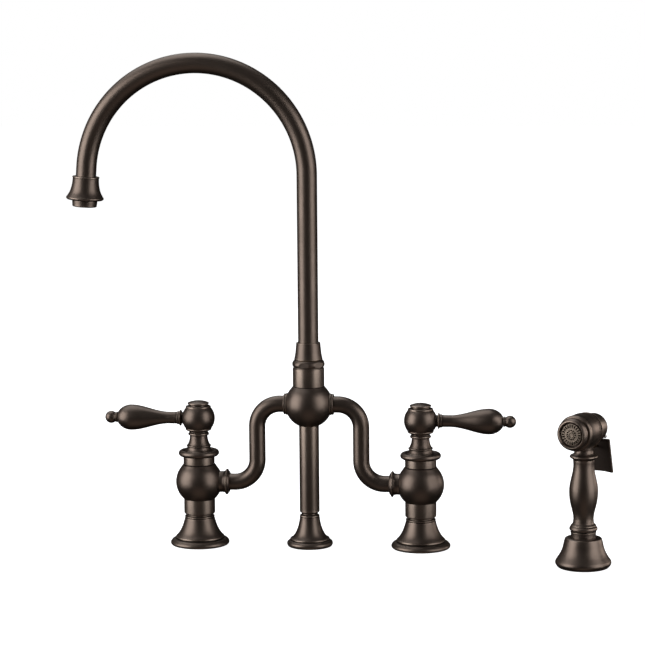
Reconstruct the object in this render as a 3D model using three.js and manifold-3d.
// Two handle bridge faucet with a gooseneck spout and a side sprayer.
// Millimetres, +Z up. The origin is the centre of the middle foot's underside, +X runs along the
// bridge to the right valve, and -Y is the side that faces the user.
import * as THREE from "three";
import Module from "manifold-3d";
import { mergeVertices } from "three/addons/utils/BufferGeometryUtils.js";

const wasm = await Module();
wasm.setup();

// ---- Driving dimensions -------------------------------------------------------------------

// Clearances
const GAP = 0.3; // between pieces that touch
const SLIP = 0.4; // round a piece that turns, slides or stands in another's bore

// Layout
const VALVE_SPACING = 203.2; // between the valve axes, eight inches
const BRIDGE_LEG_OFFSET = 47.6; // upright run of a bridge tube, from the hub's axis
const SPRAYER_X = 250;
const SPRAYER_Y = -65;
const SPRAYER_TURN = -25; // degrees about its own axis, from facing straight forwards

// Valve
const VALVE_BALL_R = 21.3;
const VALVE_BALL_Z = 58.2;
const VALVE_NECK_R = 14.2;
const VALVE_NECK_TOP = 81.7;
const CARTRIDGE_BORE_R = 10.3;
const SHANK_R = 8.5;
const SHANK_BORE_R = 5.5;
const SHANK_BOTTOM = 1;
const SLEEVE_GROOVE_R = 12.85;
const SLEEVE_GROOVE_H = 3;
const SPIGOT_R = 11; // the body's lower end, inside the neck sleeve
const CARTRIDGE_DROP = 9.9; // from the ball's centre down to the cartridge's foot
const CARTRIDGE_SHOULDER = 4; // floor between the cartridge and the inlet shank
const SPINDLE_LIFT = 18.1; // from the cartridge's foot up to the spindle's

// Feet
const FOOT_H = 24.6;
const FOOT_R = 26.6;
const FOOT_WALL = 2.4;
const FOOT_STEP_H = 6.2; // height of the lower lip, under the flare
const FOOT_STEP_IN = 3.9; // how far the flare starts inside the lip
const CENTRE_FOOT_H = 29.2;
const CENTRE_FOOT_R = 20.6;
const CENTRE_STEP_H = 5.2;
const CENTRE_STEP_IN = 2.6;

// Bonnet and stem cover
const BONNET_RING_R = 15.7; // to the middle of its rounded rim
const BONNET_RIM_R = 2.8;
const BONNET_BORE_R = 11.2;
const BONNET_WEB_H = 1.8;
const BONNET_LIP = 3; // how far its web reaches over the cartridge
const WAIST_R = 8;
const COVER_H = 16.7;
const COVER_BEAD_R = 9.6;

// Handle
const HANDLE_BALL_R = 15.3;
const HANDLE_BALL_DROP = 11.9; // from the ball's centre down to the underside of its hub
const HANDLE_BALL_RISE = 11.6; // from the ball's centre up to the flat under the cap
const HANDLE_FOOT_R = 9.1;
const HANDLE_BEAD_R = 11.8;
const HANDLE_STEP_R = 11.4;
const SCREW_SEAT_H = 6; // floor of the hub over the spindle's tip
const SCREW_HEAD_H = 2;
const SCREW_LENGTH = 7;
const SCREW_R = 1.3;
const SPINDLE_R = 4;
const SPINDLE_TIP_R = 3.6;
const SPINDLE_H = 45.5;
const CAP_R = 9.5;
const CAP_PLUG_R = 4.9;
const LEVER_COLLAR_X = 16.4;
const LEVER_COLLAR_R = 7.1;
const LEVER_NECK_R = 5.4;
const LEVER_BULB_X = 62;
const LEVER_BULB_R = 11.4;
const LEVER_END_X = 74.7;
const LEVER_STUD_R = 3;
const LEVER_STUD_X = 9; // inner end of the stud, from the valve's axis
const FINIAL_BALL_R = 5.3;
const FINIAL_BALL_X = 5.6; // from the finial's ring to the ball's centre
const FINIAL_RING_R = 4.8;
const FINIAL_PIN_R = 2;
const FINIAL_PIN_LENGTH = 5;

// Bridge tubes and hub
const BRIDGE_TUBE_R = 7.5;
const BRIDGE_TUBE_WALL = 1.3;
const BRIDGE_BEND_R = 21;
const BRIDGE_INSERT = 5.4; // how far a bridge tube enters the hub and the valve
const UNION_NUT_R = 11.7;
const UNION_NECK_R = 9.5;
const UNION_LENGTH = 7.1;
const HUB_BALL_R = 21.6;
const HUB_BALL_Z = 130.9;
const HUB_NECK_R = 14.3;
const HUB_NECK_TOP = 164.1;
const HUB_COLLAR_R = 9.75;
const SUPPORT_TUBE_R = 9;
const SUPPORT_TUBE_WALL = 2;
const SUPPORT_ENTRY = 2.3; // how far the support tube enters the hub
const SUPPORT_GROOVE_H = 2.2;
const SUPPORT_GROOVE_DEPTH = 1.6;
const HUB_FLOOR = 3.7; // between the support tube and the water chamber

// Spout
const SPOUT_TUBE_R = 9.2;
const SPOUT_TUBE_WALL = 1.5;
const SPOUT_ARCH_R = 100.6;
const SPOUT_ARCH_Z = 339;
const SPOUT_SWEEP = 176; // degrees
const SPOUT_TAIL = 8.5; // straight run between the arch and the bell
const TUBE_ENTRY = 4; // how far the spout tube enters the bell
const RING_NUT_R = 14.6;
const RING_NUT_H = 7.2;
const SLEEVE_TOP_R = 10.55;
const SLEEVE_FOOT_R = 12.7;
const SPOUT_SLEEVE_H = 15.4;
const BUSH_R = 12;
const BUSH_H = 8;
const SHOULDER_R = 11;
const SHOULDER_H = 2.7;
const NUT_SKIRT_H = 3;
const SPIGOT_NECK_R = 10.3;
const SPOUT_SPIGOT_R = 9.2;
const SPIGOT_WALL = 2.5;
const SPIGOT_ENTRY = 4.2; // how far the spigot stands up inside the spout sleeve
const SPIGOT_FOOT_ROOM = 1.5;
const O_RING_SECTION_R = 0.75;
const O_RING_PROUD = 0.35; // how far an O-ring stands out of its groove
const O_RING_INSET = 5; // from the spigot's foot, and from the bush
const BELL_TOP_R = 11.65;
const BELL_RIM_R = 16.9;
const BELL_H = 21.2;
const AERATOR_R = 11.4;
const AERATOR_H = 6.3; // how far it stands out of the bell
const AERATOR_ENTRY = 9; // how far it goes up inside the bell
const AERATOR_WALL = 1.6;
const AERATOR_LIP = 1.2;

// Sprayer holder
const HOLDER_R = 24.3;
const HOLDER_H = 26.6;
const HOLDER_BORE_R = 11.5;
const GUIDE_RING_R = 12.2;
const GUIDE_BOTTOM = 8;
const GUIDE_TOP = 36.4;
const GUIDE_RING_LIFT = 5.4; // from the holder's top up to the guide's ring

// Sprayer handset, its own axis upright and its face towards -Y
const STEM_R = 8.5; // the part of the handset that stands in the guide
const STEM_BOTTOM = 14;
const GRIP_WAIST_R = 8.9;
const GRIP_BULGE_R = 12.5;
const GRIP_TOP_R = 9.4;
const GRIP_TOP = 95.6;
const GRIP_BORE_R = 4.5;
const NECK_LENGTH = 4.3; // bare neck between the collar and the barrel
const HEAD_R = 15.6;
const HEAD_BORE_R = 12.5;
const HEAD_FRONT = 19; // from the handset's axis to the front of the barrel
const HEAD_REAR = 6.5;
const NOZZLE_R = 14.2;
const NOZZLE_LENGTH = 7;
const FACE_R = 9.7;
const FACE_THICKNESS = 2.5;
const FACE_RECESS = 1.5;
const FACE_SEAT = 1.2; // width of the ledge behind it
const SPRAY_HOLE_R = 0.45;
const SPRAY_HOLE_ROWS = [
  { count: 12, radius: 4.2 },
  { count: 20, radius: 7.7 },
];
const REAR_CAP_R = 13.5;
const REAR_CAP_BORE_R = 10.4;
const REAR_CAP_STRAIGHT = 11.8; // length of its straight part, before the dome
const REAR_CAP_DOME = 11;
const COLLAR_R = 12.1;
const COLLAR_H = 5.6;
const NECK_R = 8.2;
const NECK_SPIGOT_LENGTH = 8;

// Thumb lever
const PIVOT_Y = 23.6;
const PIVOT_DROP = 8.1; // from the barrel's axis down to the pin
const PIN_R = 1.2;
const PIN_LENGTH = 19.2;
const KNUCKLE_R = 2.6;
const KNUCKLE_WIDTH = 10.4;
const KNUCKLE_CLEAR = 0.4; // round the knuckle, in the slot of the rear cap
const LEVER_PLATE = 2.4;
const LEVER_WIDTH = 25;
const LEVER_LENGTH = 35.5;
const LEVER_FOOT_RISE = 1.7; // how far the middle of its lower edge stands above the corners
const LEVER_LEAN = 14; // degrees away from the handset at its foot
const PLUNGER_R = 1.1;
const PLUNGER_DEPTH = 3.2; // how far its inner end stands behind the neck's axis
const PLUNGER_SPRING_R = 1.9;
const PLUNGER_GUIDE = 2; // length of the hole that guides it
const PLUNGER_CLEAR = 0.9; // between its outer end and the lever's plate
const FERRULE_R = 6.3;
const FERRULE_BORE_R = 3;
const FERRULE_BOTTOM = 4;

// Facets
const SIDES_LARGE = 18;
const SIDES = 14;
const SIDES_SMALL = 8;
const SIDES_PIPE = 12;
const ARC_STEPS = 3;
const BALL_STEPS = 5;
const BEND_STEPS = 15;
const SPOUT_STEPS = 31;

// ---- Sizes worked out from them --------------------------------------------------------------

const VALVE_X = VALVE_SPACING / 2;
const SLEEVE_BOTTOM = FOOT_H + GAP;
const BONNET_BOTTOM = VALVE_NECK_TOP + GAP;
const BONNET_TOP = BONNET_BOTTOM + 2 * BONNET_RIM_R;
const COVER_BOTTOM = BONNET_TOP + GAP;
const COVER_TOP = COVER_BOTTOM + COVER_H;
const HANDLE_BOTTOM = COVER_TOP + SLIP;
const HANDLE_BALL_Z = HANDLE_BOTTOM + HANDLE_BALL_DROP;
const HANDLE_TOP = HANDLE_BALL_Z + HANDLE_BALL_RISE;
const CARTRIDGE_BOTTOM = VALVE_BALL_Z - CARTRIDGE_DROP;
const SPINDLE_BOTTOM = CARTRIDGE_BOTTOM + SPINDLE_LIFT;
const SPINDLE_TOP = SPINDLE_BOTTOM + SPINDLE_H;
const SCREW_SEAT = SPINDLE_TOP + SCREW_SEAT_H;
const SOCKET_R = BRIDGE_TUBE_R + SLIP;
const HUB_SOCKET_X = HUB_BALL_R - BRIDGE_INSERT;
const VALVE_SOCKET_X = VALVE_BALL_R - BRIDGE_INSERT;
const SUPPORT_TOP = HUB_BALL_Z - Math.sqrt(HUB_BALL_R ** 2 - SUPPORT_TUBE_R ** 2) + SUPPORT_ENTRY;
const SUPPORT_BOTTOM = CENTRE_FOOT_H + SUPPORT_GROOVE_H;
const HUB_CAVITY_BOTTOM = SUPPORT_TOP + HUB_FLOOR;
const HUB_BORE_R = SPOUT_SPIGOT_R + O_RING_PROUD + SLIP;
const COUNTERBORE_R = BUSH_R + SLIP;
const NUT_BOTTOM = HUB_NECK_TOP + GAP;
const NUT_TOP = NUT_BOTTOM + RING_NUT_H;
const SHOULDER_TOP = NUT_BOTTOM - NUT_SKIRT_H - GAP;
const SHOULDER_BOTTOM = SHOULDER_TOP - SHOULDER_H;
const BUSH_TOP = SHOULDER_BOTTOM - GAP;
const BUSH_BOTTOM = BUSH_TOP - BUSH_H;
const SPOUT_SLEEVE_BOTTOM = NUT_TOP + SLIP;
const SPOUT_SPIGOT_TOP = SPOUT_SLEEVE_BOTTOM + SPIGOT_ENTRY;
const SPOUT_SPIGOT_BOTTOM = HUB_CAVITY_BOTTOM + SPIGOT_FOOT_ROOM;
const SPOUT_TUBE_BOTTOM = SPOUT_SPIGOT_TOP + GAP;
const O_RING_HEIGHTS = { lower: SPOUT_SPIGOT_BOTTOM + O_RING_INSET, upper: BUSH_BOTTOM - O_RING_INSET };
const O_RING_R = SPOUT_SPIGOT_R - O_RING_SECTION_R + O_RING_PROUD;
const SPOUT_END_ANGLE = THREE.MathUtils.degToRad(SPOUT_SWEEP);
const OUTLET_LEAN = Math.PI - SPOUT_END_ANGLE;
const GUIDE_BORE_R = STEM_R + SLIP;
const COLLAR_BOTTOM = GRIP_TOP + GAP;
const COLLAR_TOP = COLLAR_BOTTOM + COLLAR_H;
const HEAD_Z = COLLAR_TOP + NECK_LENGTH + HEAD_R;
const PIVOT_Z = HEAD_Z - PIVOT_DROP;
const PLUNGER_Z = COLLAR_TOP + NECK_LENGTH / 2;
const NOZZLE_BACK = HEAD_FRONT + GAP;
const FACE_BACK = NOZZLE_BACK + NOZZLE_LENGTH - FACE_THICKNESS - FACE_RECESS;
const CAP_FRONT = HEAD_REAR + GAP;

// ---- Materials --------------------------------------------------------------------------------

const bronze = { color: 0x4a3d36, metalness: 0.9, roughness: 0.38 };
const bronzeDark = { color: 0x2e2623, metalness: 0.85, roughness: 0.45 };
const brass = { color: 0xb08d4f, metalness: 1, roughness: 0.35 };
const steel = { color: 0xb9bcbf, metalness: 1, roughness: 0.3 };
const plastic = { color: 0x2a2a2c, metalness: 0, roughness: 0.5 };
const ceramicWhite = { color: 0xe4e0d6, metalness: 0, roughness: 0.4 };
const rubber = { color: 0x141414, metalness: 0, roughness: 0.8 };

// ---- Solids -----------------------------------------------------------------------------------

// A closed geometry as a solid that can be joined and cut.
function solid(geometry) {
  const bare = geometry.index ? geometry.toNonIndexed() : geometry.clone();
  bare.deleteAttribute("normal");
  bare.deleteAttribute("uv");
  const merged = mergeVertices(bare, 1e-4);
  const corners = [];
  for (let i = 0; i < merged.index.count; i += 3) {
    const [a, b, c] = [0, 1, 2].map((k) => merged.index.getX(i + k));
    if (a !== b && b !== c && c !== a) corners.push(a, b, c);
  }
  return new wasm.Manifold(
    new wasm.Mesh({
      numProp: 3,
      vertProperties: new Float32Array(merged.attributes.position.array),
      triVerts: new Uint32Array(corners),
    }),
  );
}

// A named mesh from a solid, with its own material.
function piece(name, body, look) {
  const { vertProperties, triVerts } = body.getMesh();
  const geometry = new THREE.BufferGeometry();
  geometry.setAttribute("position", new THREE.BufferAttribute(new Float32Array(vertProperties), 3));
  geometry.setIndex(new THREE.BufferAttribute(new Uint32Array(triVerts), 1));
  geometry.computeVertexNormals();
  const mesh = new THREE.Mesh(geometry, new THREE.MeshStandardMaterial(look));
  mesh.name = name;
  return mesh;
}

// A profile of (radius, height) turned about the Z axis. It runs up the outside, and either
// starts and ends on the axis or closes on itself.
function turned(profile, sides = SIDES) {
  const points = profile.getPoints(ARC_STEPS);
  if (points[0].x > 0) points.push(points[0].clone());
  const geometry = new THREE.LatheGeometry(points, sides);
  geometry.rotateX(Math.PI / 2);
  return solid(geometry);
}

function line(...points) {
  const path = new THREE.Path();
  points.forEach(([radius, height], i) => (i ? path.lineTo(radius, height) : path.moveTo(radius, height)));
  return path;
}

function rod(radius, bottom, top, sides = SIDES) {
  return turned(line([0, bottom], [radius, bottom], [radius, top], [0, top]), sides);
}

function tube(outer, inner, bottom, top, sides = SIDES) {
  return turned(line([outer, bottom], [outer, top], [inner, top], [inner, bottom]), sides);
}

function ball(radius, height, sides = SIDES_LARGE) {
  const profile = new THREE.Path();
  profile.absarc(0, height, radius, -Math.PI / 2, Math.PI / 2);
  const points = profile.getPoints(2 * BALL_STEPS);
  points[0].x = 0;
  points.at(-1).x = 0;
  const geometry = new THREE.LatheGeometry(points, sides);
  geometry.rotateX(Math.PI / 2);
  return solid(geometry);
}

// How far from a ball's centre a ring of a smaller radius meets it, with a gap.
function seat(ballRadius, radius) {
  return Math.sqrt((ballRadius + GAP) ** 2 - radius ** 2);
}

// Lays a solid that was turned about Z along +X, or along -Y.
function alongX(body, height = 0) {
  return body.rotate([0, 90, 0]).translate([0, 0, height]);
}

function alongMinusY(body, height = 0) {
  return body.rotate([90, 0, 0]).translate([0, 0, height]);
}

// A round tube along a path, with its bore.
function pipe(path, outer, wall, steps, sides) {
  const section = new THREE.Shape();
  section.absarc(0, 0, outer, 0, 2 * Math.PI);
  const bore = new THREE.Path();
  bore.absarc(0, 0, outer - wall, 0, 2 * Math.PI, true);
  section.holes.push(bore);
  const geometry = new THREE.ExtrudeGeometry(section, { steps, curveSegments: sides / 2, extrudePath: path });
  return solid(geometry);
}

// An arc in the XZ plane, angles from +X towards +Z.
class UprightArc extends THREE.Curve {
  constructor(x, z, radius, from, to) {
    super();
    Object.assign(this, { x, z, radius, from, to });
  }

  getPoint(t, target = new THREE.Vector3()) {
    const angle = this.from + (this.to - this.from) * t;
    return target.set(this.x + this.radius * Math.cos(angle), 0, this.z + this.radius * Math.sin(angle));
  }
}

function straight(x0, z0, x1, z1) {
  return new THREE.LineCurve3(new THREE.Vector3(x0, 0, z0), new THREE.Vector3(x1, 0, z1));
}

function route(...stretches) {
  const path = new THREE.CurvePath();
  stretches.forEach((stretch) => path.add(stretch));
  return path;
}

// ---- Feet -------------------------------------------------------------------------------------

function baseFlange() {
  const bore = SHANK_R + GAP;
  const flare = FOOT_R - FOOT_STEP_IN;
  const profile = line([flare - 0.1, 0], [FOOT_R - 1, 0]);
  profile.quadraticCurveTo(FOOT_R + 0.4, 0.35 * FOOT_STEP_H, flare + 0.9, FOOT_STEP_H - 0.3);
  profile.lineTo(flare, FOOT_STEP_H);
  profile.quadraticCurveTo(flare, FOOT_STEP_H + 1.8, flare - 1.6, FOOT_STEP_H + 2.2);
  profile.quadraticCurveTo(SLEEVE_GROOVE_R + 2, 0.57 * FOOT_H, SLEEVE_GROOVE_R + 1.2, FOOT_H - 2.6);
  profile.lineTo(SLEEVE_GROOVE_R + 1.3, FOOT_H - 1.2);
  profile.lineTo(SLEEVE_GROOVE_R + 0.5, FOOT_H);
  profile.lineTo(bore, FOOT_H);
  profile.lineTo(bore, FOOT_H - FOOT_WALL);
  profile.lineTo(SLEEVE_GROOVE_R - 1.5, FOOT_H - FOOT_WALL);
  profile.quadraticCurveTo(SLEEVE_GROOVE_R, 0.4 * FOOT_H, flare - 1.6, FOOT_STEP_H - 2.2);
  return turned(profile, SIDES_LARGE);
}

function centreFlange() {
  const bore = SUPPORT_TUBE_R - SUPPORT_TUBE_WALL;
  const flare = CENTRE_FOOT_R - CENTRE_STEP_IN;
  const profile = line([flare - 1.4, 0], [CENTRE_FOOT_R - 1, 0]);
  profile.quadraticCurveTo(CENTRE_FOOT_R + 0.6, 0.4 * CENTRE_STEP_H, flare + 0.6, CENTRE_STEP_H - 0.2);
  profile.lineTo(flare, CENTRE_STEP_H);
  profile.quadraticCurveTo(flare - 0.4, CENTRE_STEP_H + 2, flare - 2.4, CENTRE_STEP_H + 3.4);
  profile.quadraticCurveTo(SUPPORT_TUBE_R + 1, 0.51 * CENTRE_FOOT_H, SUPPORT_TUBE_R + 0.1, CENTRE_FOOT_H - 2);
  profile.lineTo(SUPPORT_TUBE_R - 0.3, CENTRE_FOOT_H);
  profile.lineTo(bore, CENTRE_FOOT_H);
  profile.quadraticCurveTo(bore, 0.3 * CENTRE_FOOT_H, flare - 2.9, CENTRE_STEP_H - 1.2);
  return turned(profile, SIDES_LARGE);
}

// ---- Valve ------------------------------------------------------------------------------------
// Its own frame: axis at x = 0, lever towards +X and bridge towards -X.

function inletShank() {
  return tube(SHANK_R, SHANK_BORE_R, SHANK_BOTTOM, CARTRIDGE_BOTTOM - CARTRIDGE_SHOULDER - GAP);
}

function neckSleeve() {
  const groove = SLEEVE_BOTTOM + SLEEVE_GROOVE_H;
  const bore = SPIGOT_R + GAP;
  const profile = line(
    [SLEEVE_GROOVE_R, SLEEVE_BOTTOM],
    [SLEEVE_GROOVE_R, groove],
    [VALVE_NECK_R, groove + 0.6],
    [VALVE_NECK_R, VALVE_BALL_Z - seat(VALVE_BALL_R, VALVE_NECK_R)],
    [bore, VALVE_BALL_Z - seat(VALVE_BALL_R, bore)],
    [bore, groove],
    [SHANK_R + GAP, groove],
    [SHANK_R + GAP, SLEEVE_BOTTOM],
  );
  return turned(profile, SIDES_LARGE);
}

function valveBody() {
  const spigotBottom = SLEEVE_BOTTOM + SLEEVE_GROOVE_H + GAP;
  const outletPassage = rod(SHANK_BORE_R, VALVE_SOCKET_X - 9, VALVE_SOCKET_X + 1, SIDES_SMALL);
  const tubeSocket = rod(SOCKET_R, VALVE_SOCKET_X, VALVE_BALL_R + 1);
  return ball(VALVE_BALL_R, VALVE_BALL_Z)
    .add(rod(VALVE_NECK_R, VALVE_BALL_Z, VALVE_NECK_TOP, SIDES_LARGE))
    .add(rod(SPIGOT_R, spigotBottom, VALVE_BALL_Z, SIDES_LARGE))
    .subtract(rod(CARTRIDGE_BORE_R, CARTRIDGE_BOTTOM - GAP, VALVE_NECK_TOP + 1))
    .subtract(rod(SHANK_R + GAP, 0, CARTRIDGE_BOTTOM - CARTRIDGE_SHOULDER))
    .subtract(rod(SHANK_BORE_R, 0, CARTRIDGE_BOTTOM + 1))
    .subtract(alongX(outletPassage.add(tubeSocket), VALVE_BALL_Z).rotate([0, 0, 180]));
}

function cartridge() {
  const radius = CARTRIDGE_BORE_R - GAP;
  return rod(radius, CARTRIDGE_BOTTOM, VALVE_NECK_TOP - 0.2)
    .subtract(rod(SHANK_BORE_R - 0.5, CARTRIDGE_BOTTOM - 1, VALVE_BALL_Z + 4, SIDES_SMALL))
    .subtract(rod(SPINDLE_R + SLIP, SPINDLE_BOTTOM - SLIP, VALVE_NECK_TOP + 1, SIDES_SMALL))
    .subtract(alongX(rod(SHANK_BORE_R - 1, -radius - 1, 0, SIDES_SMALL), VALVE_BALL_Z));
}

function bonnetRing() {
  const profile = line([BONNET_RING_R, BONNET_BOTTOM]);
  profile.absarc(BONNET_RING_R, BONNET_BOTTOM + BONNET_RIM_R, BONNET_RIM_R, -Math.PI / 2, Math.PI / 2);
  profile.lineTo(BONNET_RING_R - 1.2, BONNET_TOP - 0.3);
  profile.lineTo(BONNET_BORE_R + 1.4, BONNET_TOP - 1.3);
  profile.lineTo(BONNET_BORE_R, BONNET_TOP - 1.3);
  profile.lineTo(BONNET_BORE_R, BONNET_BOTTOM + BONNET_WEB_H);
  profile.lineTo(BONNET_BORE_R - BONNET_LIP, BONNET_BOTTOM + BONNET_WEB_H);
  profile.lineTo(BONNET_BORE_R - BONNET_LIP, BONNET_BOTTOM);
  return turned(profile, SIDES_LARGE);
}

function stemCover() {
  const base = COVER_BOTTOM - 0.9;
  const profile = line(
    [BONNET_BORE_R - SLIP, BONNET_BOTTOM + BONNET_WEB_H + GAP],
    [BONNET_BORE_R - SLIP, base],
    [BONNET_BORE_R + 1.1, base],
  );
  profile.quadraticCurveTo(BONNET_BORE_R - 0.6, COVER_BOTTOM + 1, BONNET_BORE_R - 1, COVER_BOTTOM + 3.7);
  profile.lineTo(BONNET_BORE_R - 0.5, COVER_BOTTOM + 4.6);
  profile.lineTo(BONNET_BORE_R - 0.6, COVER_BOTTOM + 5.5);
  profile.lineTo(BONNET_BORE_R - 1.8, COVER_BOTTOM + 6.3);
  profile.quadraticCurveTo(WAIST_R, COVER_BOTTOM + 9, WAIST_R, COVER_TOP - 4.1);
  profile.lineTo(COVER_BEAD_R, COVER_TOP - 2.9);
  profile.lineTo(COVER_BEAD_R, COVER_TOP - 2);
  profile.lineTo(COVER_BEAD_R - 0.7, COVER_TOP - 1);
  profile.lineTo(COVER_BEAD_R - 0.7, COVER_TOP);
  profile.lineTo(SPINDLE_R + SLIP, COVER_TOP);
  profile.lineTo(SPINDLE_R + SLIP, BONNET_BOTTOM + BONNET_WEB_H + GAP);
  return turned(profile);
}

// ---- Handle -----------------------------------------------------------------------------------

function spindle() {
  return turned(
    line(
      [0, SPINDLE_BOTTOM],
      [SPINDLE_R, SPINDLE_BOTTOM],
      [SPINDLE_R, HANDLE_BOTTOM],
      [SPINDLE_TIP_R, HANDLE_BOTTOM + 0.5],
      [SPINDLE_TIP_R, SPINDLE_TOP],
      [0, SPINDLE_TOP],
    ),
    SIDES_SMALL,
  ).subtract(rod(SCREW_R + GAP, SPINDLE_TOP - SCREW_LENGTH - 1, SPINDLE_TOP + 1, SIDES_SMALL));
}

function handleHub() {
  const bead = line(
    [0, HANDLE_BOTTOM],
    [HANDLE_FOOT_R, HANDLE_BOTTOM],
    [HANDLE_BEAD_R, HANDLE_BOTTOM + 2],
    [HANDLE_BEAD_R, HANDLE_BOTTOM + 2.9],
    [0, HANDLE_BOTTOM + 5],
  );
  const step = line(
    [0, HANDLE_BALL_Z],
    [HANDLE_STEP_R, HANDLE_TOP - 3.6],
    [HANDLE_STEP_R, HANDLE_TOP - 1.6],
    [HANDLE_STEP_R - 1.8, HANDLE_TOP],
    [0, HANDLE_TOP],
  );
  const studHole = rod(LEVER_STUD_R + GAP, LEVER_STUD_X - 1, HANDLE_BALL_R + 1);
  return ball(HANDLE_BALL_R, HANDLE_BALL_Z, SIDES)
    .subtract(rod(HANDLE_BALL_R, HANDLE_TOP, HANDLE_BALL_Z + HANDLE_BALL_R + 1))
    .subtract(rod(HANDLE_BALL_R, HANDLE_BALL_Z - HANDLE_BALL_R - 1, HANDLE_BOTTOM))
    .add(turned(bead))
    .add(turned(step))
    .subtract(rod(SPINDLE_R + GAP, HANDLE_BOTTOM - 1, SPINDLE_TOP + GAP, SIDES_SMALL))
    .subtract(rod(SCREW_R + 1, SPINDLE_TOP, HANDLE_TOP, SIDES_SMALL))
    .subtract(rod(CAP_PLUG_R + GAP, SCREW_SEAT, HANDLE_TOP + 1))
    .subtract(alongX(studHole, HANDLE_BALL_Z));
}

function handleScrew() {
  const head = SCREW_SEAT + GAP;
  return turned(
    line(
      [0, SPINDLE_TOP - SCREW_LENGTH],
      [SCREW_R, SPINDLE_TOP - SCREW_LENGTH],
      [SCREW_R, head],
      [CAP_PLUG_R - SLIP, head],
      [CAP_PLUG_R - SLIP, head + SCREW_HEAD_H],
      [0, head + SCREW_HEAD_H],
    ),
    SIDES_SMALL,
  );
}

function cap() {
  const bottom = HANDLE_TOP + GAP;
  const profile = line(
    [0, SCREW_SEAT + SCREW_HEAD_H + 1],
    [CAP_PLUG_R, SCREW_SEAT + SCREW_HEAD_H + 1],
    [CAP_PLUG_R, bottom],
    [CAP_R - 1.1, bottom],
    [CAP_R, bottom + 1.7],
    [CAP_R - 0.2, bottom + 2.3],
  );
  profile.quadraticCurveTo(CAP_R - 4, bottom + 4.2, 0, bottom + 4.4);
  return turned(profile);
}

function lever() {
  const shoulder = LEVER_COLLAR_R - 1.4;
  const profile = line(
    [0, LEVER_STUD_X],
    [LEVER_STUD_R, LEVER_STUD_X],
    [LEVER_STUD_R, seat(HANDLE_BALL_R, LEVER_STUD_R)],
    [shoulder, seat(HANDLE_BALL_R, shoulder)],
    [shoulder, LEVER_COLLAR_X - 0.6],
    [LEVER_COLLAR_R, LEVER_COLLAR_X],
    [LEVER_COLLAR_R, LEVER_COLLAR_X + 1.2],
    [LEVER_COLLAR_R - 0.9, LEVER_COLLAR_X + 1.8],
    [LEVER_COLLAR_R - 0.9, LEVER_COLLAR_X + 3.8],
    [LEVER_NECK_R + 0.1, LEVER_COLLAR_X + 4.4],
    [LEVER_NECK_R, LEVER_COLLAR_X + 12],
  );
  const bulbHalf = LEVER_END_X - LEVER_BULB_X + 0.9;
  const reach = LEVER_BULB_X - LEVER_COLLAR_X;
  profile.bezierCurveTo(
    LEVER_NECK_R + 0.8,
    LEVER_COLLAR_X + 0.55 * reach,
    LEVER_BULB_R,
    LEVER_COLLAR_X + 0.75 * reach,
    LEVER_BULB_R,
    LEVER_BULB_X,
  );
  profile.absellipse(0, LEVER_BULB_X, LEVER_BULB_R, bulbHalf, 0, 0.38 * Math.PI, false, 0);
  profile.lineTo(FINIAL_PIN_R + GAP, LEVER_END_X);
  profile.lineTo(FINIAL_PIN_R + GAP, LEVER_END_X - FINIAL_PIN_LENGTH - 1);
  profile.lineTo(0, LEVER_END_X - FINIAL_PIN_LENGTH - 1);
  return alongX(turned(profile), HANDLE_BALL_Z);
}

function finial() {
  const start = LEVER_END_X + GAP;
  const profile = line(
    [0, LEVER_END_X - FINIAL_PIN_LENGTH],
    [FINIAL_PIN_R, LEVER_END_X - FINIAL_PIN_LENGTH],
    [FINIAL_PIN_R, start],
    [FINIAL_RING_R - 0.5, start],
    [FINIAL_RING_R, start + 0.6],
    [FINIAL_RING_R, start + 1.4],
    [FINIAL_RING_R - 0.7, start + 2.2],
  );
  profile.absarc(0, start + FINIAL_BALL_X, FINIAL_BALL_R, -0.2 * Math.PI, 0.5 * Math.PI);
  return alongX(turned(profile, SIDES_SMALL), HANDLE_BALL_Z);
}

// ---- Bridge -----------------------------------------------------------------------------------

function unionNut() {
  const end = VALVE_BALL_R + UNION_LENGTH;
  const profile = line(
    [UNION_NECK_R, seat(VALVE_BALL_R, UNION_NECK_R)],
    [UNION_NECK_R + 0.3, VALVE_BALL_R + 0.8],
    [UNION_NUT_R, end - 3.8],
    [UNION_NUT_R, end - 3],
    [UNION_NUT_R - 1.6, end - 1.3],
    [BRIDGE_TUBE_R + 0.9, end],
    [SOCKET_R, end],
    [SOCKET_R, seat(VALVE_BALL_R, SOCKET_R)],
  );
  return alongX(turned(profile), VALVE_BALL_Z).rotate([0, 0, 180]);
}

// In the hub's frame, on its -X or +X side.
function bridgeTube(side) {
  const hubEnd = HUB_SOCKET_X + GAP;
  const valveEnd = VALVE_X - VALVE_SOCKET_X - GAP;
  const leg = BRIDGE_LEG_OFFSET;
  const bend = BRIDGE_BEND_R;
  const path = route(
    straight(hubEnd, HUB_BALL_Z, leg - bend, HUB_BALL_Z),
    new UprightArc(leg - bend, HUB_BALL_Z - bend, bend, Math.PI / 2, 0),
    straight(leg, HUB_BALL_Z - bend, leg, VALVE_BALL_Z + bend),
    new UprightArc(leg + bend, VALVE_BALL_Z + bend, bend, Math.PI, 1.5 * Math.PI),
    straight(leg + bend, VALVE_BALL_Z, valveEnd, VALVE_BALL_Z),
  );
  const body = pipe(path, BRIDGE_TUBE_R, BRIDGE_TUBE_WALL, BEND_STEPS, SIDES_PIPE);
  return side > 0 ? body : body.rotate([0, 0, 180]);
}

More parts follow.
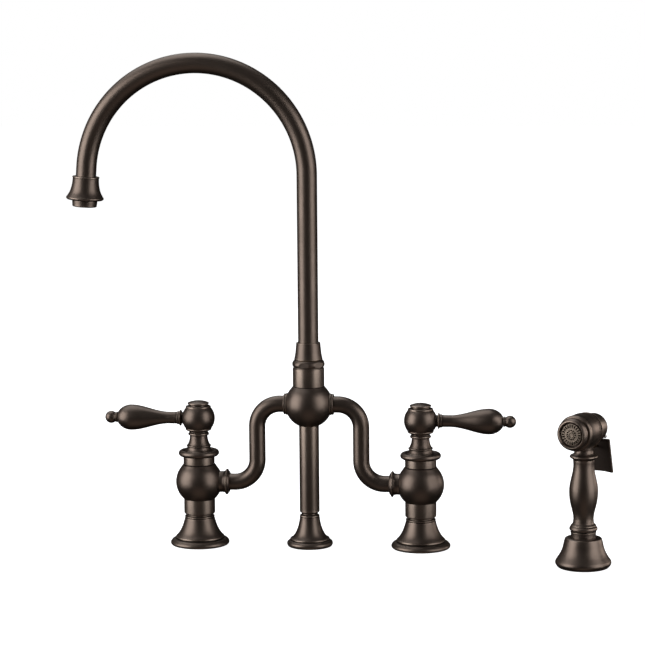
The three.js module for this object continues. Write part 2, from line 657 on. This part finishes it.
function hubCollar(side) {
  const end = HUB_BALL_R + 1.5;
  const profile = line(
    [HUB_COLLAR_R - 0.4, seat(HUB_BALL_R, HUB_COLLAR_R - 0.4)],
    [HUB_COLLAR_R, HUB_BALL_R - 1],
    [HUB_COLLAR_R, end - 0.9],
    [HUB_COLLAR_R - 0.8, end],
    [SOCKET_R, end],
    [SOCKET_R, seat(HUB_BALL_R, SOCKET_R)],
  );
  return alongX(turned(profile), HUB_BALL_Z).rotate([0, 0, side > 0 ? 0 : 180]);
}

function hubBody() {
  const socket = rod(SOCKET_R, HUB_SOCKET_X, HUB_BALL_R + 1);
  const passage = rod(SHANK_BORE_R, 0, HUB_SOCKET_X + 1, SIDES_SMALL);
  const side = alongX(socket.add(passage), HUB_BALL_Z);
  return ball(HUB_BALL_R, HUB_BALL_Z)
    .add(rod(HUB_NECK_R, HUB_BALL_Z, HUB_NECK_TOP, SIDES_LARGE))
    .subtract(rod(HUB_BORE_R, HUB_CAVITY_BOTTOM, HUB_NECK_TOP))
    .subtract(rod(COUNTERBORE_R, BUSH_BOTTOM - GAP, HUB_NECK_TOP + 1, SIDES_LARGE))
    .subtract(rod(SUPPORT_TUBE_R + GAP, 0, SUPPORT_TOP + GAP))
    .subtract(side)
    .subtract(side.rotate([0, 0, 180]));
}

function supportTube() {
  const groove = SUPPORT_TUBE_R - SUPPORT_GROOVE_DEPTH;
  const bore = SUPPORT_TUBE_R - SUPPORT_TUBE_WALL;
  const profile = line(
    [groove, CENTRE_FOOT_H + GAP],
    [groove, SUPPORT_BOTTOM],
    [SUPPORT_TUBE_R, SUPPORT_BOTTOM + 0.6],
    [SUPPORT_TUBE_R, SUPPORT_TOP],
    [bore, SUPPORT_TOP],
    [bore, SUPPORT_BOTTOM + 1],
    [groove - 1.6, CENTRE_FOOT_H + GAP],
  );
  return turned(profile);
}

// ---- Spout ------------------------------------------------------------------------------------

function swivelBush() {
  return tube(BUSH_R, SPOUT_SPIGOT_R + SLIP, BUSH_BOTTOM, BUSH_TOP);
}

function oRing(height) {
  const geometry = new THREE.TorusGeometry(O_RING_R, O_RING_SECTION_R, 6, SIDES);
  return solid(geometry).translate([0, 0, height]);
}

function spoutSpigot() {
  const groove = O_RING_R - O_RING_SECTION_R - SLIP;
  const half = O_RING_SECTION_R + 0.25;
  const profile = line(
    [SPOUT_SPIGOT_R - 0.6, SPOUT_SPIGOT_BOTTOM],
    ...Object.values(O_RING_HEIGHTS).flatMap((height) => [
      [SPOUT_SPIGOT_R, height - half],
      [groove, height - half],
      [groove, height + half],
      [SPOUT_SPIGOT_R, height + half],
    ]),
    [SPOUT_SPIGOT_R, SHOULDER_BOTTOM],
    [SHOULDER_R, SHOULDER_BOTTOM],
    [SHOULDER_R, SHOULDER_TOP],
    [SPIGOT_NECK_R, SHOULDER_TOP],
    [SPIGOT_NECK_R, SPOUT_SPIGOT_TOP],
    [SPOUT_SPIGOT_R - SPIGOT_WALL, SPOUT_SPIGOT_TOP],
    [SPOUT_SPIGOT_R - SPIGOT_WALL, SPOUT_SPIGOT_BOTTOM],
  );
  return turned(profile);
}

function ringNut() {
  const bore = SPIGOT_NECK_R + SLIP;
  const profile = line(
    [BUSH_R, NUT_BOTTOM - NUT_SKIRT_H],
    [BUSH_R, NUT_BOTTOM],
    [RING_NUT_R - 0.8, NUT_BOTTOM],
    [RING_NUT_R, NUT_BOTTOM + 1.6],
    [RING_NUT_R, NUT_TOP - 2.6],
    [RING_NUT_R - 1.3, NUT_TOP],
    [bore, NUT_TOP],
    [bore, NUT_BOTTOM - NUT_SKIRT_H],
  );
  return turned(profile, SIDES_LARGE);
}

function spoutSleeve() {
  const top = SPOUT_SLEEVE_BOTTOM + SPOUT_SLEEVE_H;
  const profile = line([SLEEVE_FOOT_R, SPOUT_SLEEVE_BOTTOM]);
  profile.quadraticCurveTo(SLEEVE_TOP_R + 0.6, SPOUT_SLEEVE_BOTTOM + 6, SLEEVE_TOP_R, top - 0.8);
  profile.lineTo(SLEEVE_TOP_R - 0.7, top);
  profile.lineTo(SPOUT_TUBE_R + SLIP, top);
  profile.lineTo(SPOUT_TUBE_R + SLIP, SPOUT_TUBE_BOTTOM);
  profile.lineTo(SPIGOT_NECK_R + SLIP, SPOUT_TUBE_BOTTOM);
  profile.lineTo(SPIGOT_NECK_R + SLIP, SPOUT_SLEEVE_BOTTOM);
  return turned(profile);
}

function spoutTube() {
  const arch = new UprightArc(-SPOUT_ARCH_R, SPOUT_ARCH_Z, SPOUT_ARCH_R, 0, SPOUT_END_ANGLE);
  const end = arch.getPoint(1);
  const tail = SPOUT_TAIL + TUBE_ENTRY;
  const path = route(
    straight(0, SPOUT_TUBE_BOTTOM, 0, SPOUT_ARCH_Z),
    arch,
    straight(end.x, end.z, end.x - tail * Math.sin(OUTLET_LEAN), end.z - tail * Math.cos(OUTLET_LEAN)),
  );
  return pipe(path, SPOUT_TUBE_R, SPOUT_TUBE_WALL, SPOUT_STEPS, SIDES_PIPE);
}

// The outlet's own frame: the bell's top at z = 0, the water runs towards -Z.
function outletBell() {
  const bore = SPOUT_TUBE_R + SLIP;
  const ledge = -TUBE_ENTRY - 1.2;
  const profile = line([AERATOR_R + SLIP, -BELL_H], [BELL_RIM_R - 1.4, -BELL_H]);
  profile.quadraticCurveTo(BELL_RIM_R + 0.6, 1.9 - BELL_H, BELL_RIM_R - 0.8, 3.8 - BELL_H);
  profile.quadraticCurveTo(BELL_TOP_R + 0.6, 9.5 - BELL_H, BELL_TOP_R, -3.5);
  profile.lineTo(BELL_TOP_R, -1);
  profile.lineTo(BELL_TOP_R - 0.7, 0);
  profile.lineTo(bore, 0);
  profile.lineTo(bore, ledge);
  profile.lineTo(AERATOR_R + SLIP, ledge - 1.5);
  return turned(profile, SIDES_LARGE);
}

function aeratorShell() {
  const top = AERATOR_ENTRY - BELL_H;
  const bottom = -BELL_H - AERATOR_H;
  const profile = line(
    [AERATOR_R - 2, bottom],
    [AERATOR_R - 1, bottom],
    [AERATOR_R - 0.4, bottom + 0.5],
    [AERATOR_R, -BELL_H],
    [AERATOR_R, top],
    [AERATOR_R - AERATOR_WALL, top],
    [AERATOR_R - AERATOR_WALL, bottom + AERATOR_LIP],
    [AERATOR_R - 2, bottom + AERATOR_LIP],
  );
  return turned(profile);
}

function aeratorInsert() {
  const bottom = -BELL_H - AERATOR_H + AERATOR_LIP + GAP;
  const top = AERATOR_ENTRY - BELL_H - GAP;
  return rod(AERATOR_R - AERATOR_WALL - GAP, bottom, top)
    .subtract(rod(AERATOR_R - AERATOR_WALL - 5.6, bottom - 1, top - 3, SIDES_SMALL));
}

// ---- Sprayer holder ---------------------------------------------------------------------------

function holderFlange() {
  const profile = line([HOLDER_R - 4.5, 0], [HOLDER_R - 2.8, 0]);
  profile.quadraticCurveTo(HOLDER_R + 0.8, 2.6, HOLDER_R - 0.2, 6.6);
  profile.quadraticCurveTo(HOLDER_R - 6.5, 0.5 * HOLDER_H, HOLDER_R - 7.5, HOLDER_H - 4);
  profile.quadraticCurveTo(HOLDER_R - 7.7, HOLDER_H - 1, HOLDER_R - 9.8, HOLDER_H);
  profile.lineTo(HOLDER_BORE_R, HOLDER_H);
  profile.lineTo(HOLDER_BORE_R, 0.53 * HOLDER_H);
  profile.quadraticCurveTo(HOLDER_R - 8, 0.34 * HOLDER_H, HOLDER_R - 6, 3.5);
  return turned(profile, SIDES_LARGE);
}

function holderGuide() {
  const outer = HOLDER_BORE_R - SLIP;
  const ring = HOLDER_H + GUIDE_RING_LIFT;
  const profile = line(
    [outer, GUIDE_BOTTOM],
    [outer, ring],
    [GUIDE_RING_R, ring + 0.7],
    [GUIDE_RING_R, GUIDE_TOP - 1.2],
    [GUIDE_RING_R - 1, GUIDE_TOP],
    [GUIDE_BORE_R, GUIDE_TOP],
    [GUIDE_BORE_R, GUIDE_BOTTOM],
  );
  return turned(profile);
}

// ---- Sprayer handset --------------------------------------------------------------------------
// Its own frame: axis at x = y = 0, the spray leaves towards -Y.

function sprayHandle() {
  const waist = GUIDE_TOP + 6.6;
  const bulge = GUIDE_TOP + 31;
  const profile = line(
    [GRIP_BORE_R, STEM_BOTTOM],
    [STEM_R, STEM_BOTTOM],
    [STEM_R, GUIDE_TOP + 0.6],
    [STEM_R + 1, GUIDE_TOP + 1],
    [STEM_R + 1, GUIDE_TOP + 2.2],
    [GRIP_WAIST_R, waist],
  );
  profile.bezierCurveTo(GRIP_WAIST_R + 0.6, waist + 8, GRIP_BULGE_R, bulge - 12, GRIP_BULGE_R, bulge);
  profile.bezierCurveTo(GRIP_BULGE_R, bulge + 10, GRIP_TOP_R - 0.9, GRIP_TOP - 12, GRIP_TOP_R, GRIP_TOP);
  profile.lineTo(GRIP_BORE_R, GRIP_TOP);
  return turned(profile);
}

function sprayNeck() {
  const spigot = GRIP_BORE_R - GAP;
  const profile = line(
    [spigot - 1.4, COLLAR_BOTTOM - NECK_SPIGOT_LENGTH],
    [spigot, COLLAR_BOTTOM - NECK_SPIGOT_LENGTH],
    [spigot, COLLAR_BOTTOM],
    [GRIP_TOP_R + 0.4, COLLAR_BOTTOM],
    [COLLAR_R, COLLAR_BOTTOM + 1.8],
    [COLLAR_R, COLLAR_BOTTOM + 3.6],
    [COLLAR_R - 1.6, COLLAR_TOP - 0.6],
    [NECK_R, COLLAR_TOP + 0.8],
    [NECK_R, HEAD_Z],
    [spigot - 1.4, HEAD_Z],
  );
  return turned(profile)
    .subtract(alongMinusY(rod(HEAD_R + GAP, -NECK_R - 1, NECK_R + 1, SIDES_LARGE), HEAD_Z))
    .subtract(alongMinusY(rod(PLUNGER_R + SLIP, -NECK_R - 1, 0, SIDES_SMALL), PLUNGER_Z))
    .subtract(alongMinusY(rod(PLUNGER_SPRING_R + SLIP, PLUNGER_GUIDE - NECK_R, 0, SIDES_SMALL), PLUNGER_Z));
}

function headBody() {
  const profile = line(
    [HEAD_BORE_R, -HEAD_REAR],
    [HEAD_R, -HEAD_REAR],
    [HEAD_R, HEAD_FRONT - 3],
    [HEAD_R + 0.4, HEAD_FRONT - 2.6],
    [HEAD_R + 0.4, HEAD_FRONT - 1],
    [HEAD_R - 0.9, HEAD_FRONT],
    [HEAD_BORE_R, HEAD_FRONT],
  );
  return alongMinusY(turned(profile, SIDES_LARGE), HEAD_Z)
    .subtract(rod(GRIP_BORE_R - GAP, COLLAR_TOP, HEAD_Z, SIDES_SMALL));
}

function nozzleRing() {
  const front = NOZZLE_BACK + NOZZLE_LENGTH;
  const profile = line(
    [FACE_R + 0.6, NOZZLE_BACK],
    [NOZZLE_R - 0.9, NOZZLE_BACK],
    [NOZZLE_R - 0.9, NOZZLE_BACK + 1.2],
    [NOZZLE_R, NOZZLE_BACK + 2],
    [NOZZLE_R, NOZZLE_BACK + 4],
    [NOZZLE_R - 1, front - 0.9],
    [NOZZLE_R - 2.1, front],
    [FACE_R + 1.3, front],
    [FACE_R + GAP, front - 1.4],
    [FACE_R + GAP, FACE_BACK - GAP],
    [FACE_R - FACE_SEAT, FACE_BACK - GAP],
    [FACE_R - FACE_SEAT, FACE_BACK - 1.6],
    [FACE_R + 0.6, FACE_BACK - 2.4],
  );
  return alongMinusY(turned(profile, SIDES_LARGE), HEAD_Z);
}

function sprayFace() {
  let disc = rod(FACE_R, FACE_BACK, FACE_BACK + FACE_THICKNESS, SIDES);
  for (const { count, radius } of SPRAY_HOLE_ROWS) {
    const drill = rod(SPRAY_HOLE_R, FACE_BACK - 1, FACE_BACK + FACE_THICKNESS + 1, 4);
    const hole = drill.translate([radius, 0, 0]);
    for (let i = 0; i < count; i += 1) disc = disc.subtract(hole.rotate([0, 0, (360 * i) / count]));
  }
  return alongMinusY(disc, HEAD_Z);
}

// A domed cap with a slot behind, in which the lever's knuckle turns.
function rearCap() {
  const straight = CAP_FRONT + REAR_CAP_STRAIGHT;
  const profile = new THREE.Path();
  profile.moveTo(0, -straight - REAR_CAP_DOME);
  profile.absellipse(0, -straight, REAR_CAP_R, REAR_CAP_DOME, -Math.PI / 2, 0, false, 0);
  profile.lineTo(REAR_CAP_R, -CAP_FRONT);
  profile.lineTo(REAR_CAP_BORE_R, -CAP_FRONT);
  profile.lineTo(REAR_CAP_BORE_R, -straight);
  profile.lineTo(0, -straight);
  const slotFront = PIVOT_Y - KNUCKLE_R - KNUCKLE_CLEAR;
  const slot = new THREE.BoxGeometry(KNUCKLE_WIDTH + 2 * GAP, REAR_CAP_R, REAR_CAP_R);
  slot.translate(0, slotFront + REAR_CAP_R / 2, PIVOT_Z + KNUCKLE_R + KNUCKLE_CLEAR - REAR_CAP_R / 2);
  return alongMinusY(turned(profile, SIDES_LARGE), HEAD_Z)
    .subtract(solid(slot))
    .subtract(acrossPivot(rod(PIN_R + GAP, -REAR_CAP_R, REAR_CAP_R, SIDES_SMALL)));
}

function acrossPivot(body) {
  return body.rotate([0, 90, 0]).translate([0, PIVOT_Y, PIVOT_Z]);
}

function leverPin() {
  return acrossPivot(rod(PIN_R, -PIN_LENGTH / 2, PIN_LENGTH / 2, SIDES_SMALL));
}

// The plate hangs below its knuckle and leans away from the handset.
function thumbLever() {
  const half = LEVER_WIDTH / 2;
  const top = -KNUCKLE_R - KNUCKLE_CLEAR;
  const corner = 2;
  const outline = new THREE.Shape();
  outline.moveTo(-half, top);
  outline.lineTo(-half, corner - LEVER_LENGTH);
  outline.quadraticCurveTo(-half, -LEVER_LENGTH, corner - half, -LEVER_LENGTH);
  outline.quadraticCurveTo(0, 2 * LEVER_FOOT_RISE - LEVER_LENGTH, half - corner, -LEVER_LENGTH);
  outline.quadraticCurveTo(half, -LEVER_LENGTH, half, corner - LEVER_LENGTH);
  outline.lineTo(half, top);
  const settings = { depth: LEVER_PLATE, bevelEnabled: false, curveSegments: 4 };
  const plate = new THREE.ExtrudeGeometry(outline, settings);
  const web = new THREE.BoxGeometry(KNUCKLE_WIDTH, LEVER_PLATE, 8);
  web.translate(0, KNUCKLE_R - LEVER_PLATE / 2, -4);
  return solid(plate)
    .rotate([90, 0, 0])
    .translate([0, KNUCKLE_R, 0])
    .add(solid(web))
    .add(rod(KNUCKLE_R, -KNUCKLE_WIDTH / 2, KNUCKLE_WIDTH / 2, SIDES_SMALL).rotate([0, 90, 0]))
    .subtract(rod(PIN_R + GAP, -KNUCKLE_WIDTH, KNUCKLE_WIDTH, SIDES_SMALL).rotate([0, 90, 0]))
    .rotate([LEVER_LEAN, 0, 0])
    .translate([0, PIVOT_Y, PIVOT_Z]);
}

// From inside the neck to the back of the thumb lever.
function plunger() {
  const lean = THREE.MathUtils.degToRad(LEVER_LEAN);
  const back = PIVOT_Y + (PIVOT_Z - PLUNGER_Z) * Math.tan(lean) + (KNUCKLE_R - LEVER_PLATE) / Math.cos(lean);
  return alongMinusY(rod(PLUNGER_R, PLUNGER_CLEAR - back, -PLUNGER_DEPTH, SIDES_SMALL), PLUNGER_Z);
}

// The closed coils of the return spring, in their chamber in the neck.
function plungerSpring() {
  const back = NECK_R - PLUNGER_GUIDE - GAP;
  return alongMinusY(tube(PLUNGER_SPRING_R, PLUNGER_R + GAP, -back, -0.6, SIDES_SMALL), PLUNGER_Z);
}

function hoseFerrule() {
  const top = STEM_BOTTOM - GAP;
  return turned(
    line(
      [FERRULE_BORE_R, FERRULE_BOTTOM],
      [FERRULE_R, FERRULE_BOTTOM],
      [FERRULE_R, top],
      [GRIP_BORE_R - GAP, top],
      [GRIP_BORE_R - GAP, top + 8],
      [FERRULE_BORE_R, top + 8],
    ),
  );
}

// ---- Assembly ---------------------------------------------------------------------------------

function valve(name, side) {
  const group = new THREE.Group();
  group.position.x = side * VALVE_X;
  group.rotation.z = side > 0 ? 0 : Math.PI;
  group.add(
    piece(`${name}_base_flange`, baseFlange(), bronze),
    piece(`${name}_inlet_shank`, inletShank(), brass),
    piece(`${name}_neck_sleeve`, neckSleeve(), bronze),
    piece(`${name}_valve_body`, valveBody(), bronze),
    piece(`${name}_cartridge`, cartridge(), ceramicWhite),
    piece(`${name}_bonnet_ring`, bonnetRing(), bronze),
    piece(`${name}_stem_cover`, stemCover(), bronze),
    piece(`${name}_spindle`, spindle(), brass),
    piece(`${name}_handle_hub`, handleHub(), bronze),
    piece(`${name}_handle_screw`, handleScrew(), steel),
    piece(`${name}_cap`, cap(), bronze),
    piece(`${name}_lever`, lever(), bronze),
    piece(`${name}_finial`, finial(), bronze),
    piece(`${name}_union_nut`, unionNut(), bronze),
  );
  return group;
}

function bridge() {
  const group = new THREE.Group();
  for (const [name, side] of [["left", -1], ["right", 1]]) {
    group.add(
      piece(`${name}_bridge_tube`, bridgeTube(side), bronze),
      piece(`${name}_hub_collar`, hubCollar(side), bronze),
    );
  }
  group.add(
    piece("centre_flange", centreFlange(), bronze),
    piece("support_tube", supportTube(), bronze),
    piece("hub_body", hubBody(), bronze),
    piece("swivel_bush", swivelBush(), plastic),
    piece("ring_nut", ringNut(), bronze),
  );
  return group;
}

function spout() {
  const group = new THREE.Group();
  group.add(
    piece("spout_spigot", spoutSpigot(), brass),
    piece("o_ring_lower", oRing(O_RING_HEIGHTS.lower), rubber),
    piece("o_ring_upper", oRing(O_RING_HEIGHTS.upper), rubber),
    piece("spout_sleeve", spoutSleeve(), bronze),
    piece("spout_tube", spoutTube(), bronze),
  );
  const outlet = new THREE.Group();
  outlet.position.set(
    SPOUT_ARCH_R * (Math.cos(SPOUT_END_ANGLE) - 1) - SPOUT_TAIL * Math.sin(OUTLET_LEAN),
    0,
    SPOUT_ARCH_Z + SPOUT_ARCH_R * Math.sin(SPOUT_END_ANGLE) - SPOUT_TAIL * Math.cos(OUTLET_LEAN),
  );
  outlet.rotation.y = OUTLET_LEAN;
  outlet.add(
    piece("outlet_bell", outletBell(), bronze),
    piece("aerator_shell", aeratorShell(), bronze),
    piece("aerator_insert", aeratorInsert(), plastic),
  );
  group.add(outlet);
  return group;
}

function sprayer() {
  const group = new THREE.Group();
  group.position.set(SPRAYER_X, SPRAYER_Y, 0);
  group.rotation.z = THREE.MathUtils.degToRad(SPRAYER_TURN);
  group.add(
    piece("holder_flange", holderFlange(), bronze),
    piece("holder_guide", holderGuide(), bronze),
    piece("spray_handle", sprayHandle(), bronze),
    piece("spray_neck", sprayNeck(), bronze),
    piece("head_body", headBody(), bronze),
    piece("nozzle_ring", nozzleRing(), bronze),
    piece("spray_face", sprayFace(), bronzeDark),
    piece("rear_cap", rearCap(), bronze),
    piece("thumb_lever", thumbLever(), bronzeDark),
    piece("lever_pin", leverPin(), steel),
    piece("plunger", plunger(), steel),
    piece("plunger_spring", plungerSpring(), steel),
    piece("hose_ferrule", hoseFerrule(), brass),
  );
  return group;
}

const faucet = new THREE.Group();
faucet.name = "two_handle_kitchen_faucet";
faucet.add(valve("left", -1), valve("right", 1), bridge(), spout(), sprayer());

export default faucet;
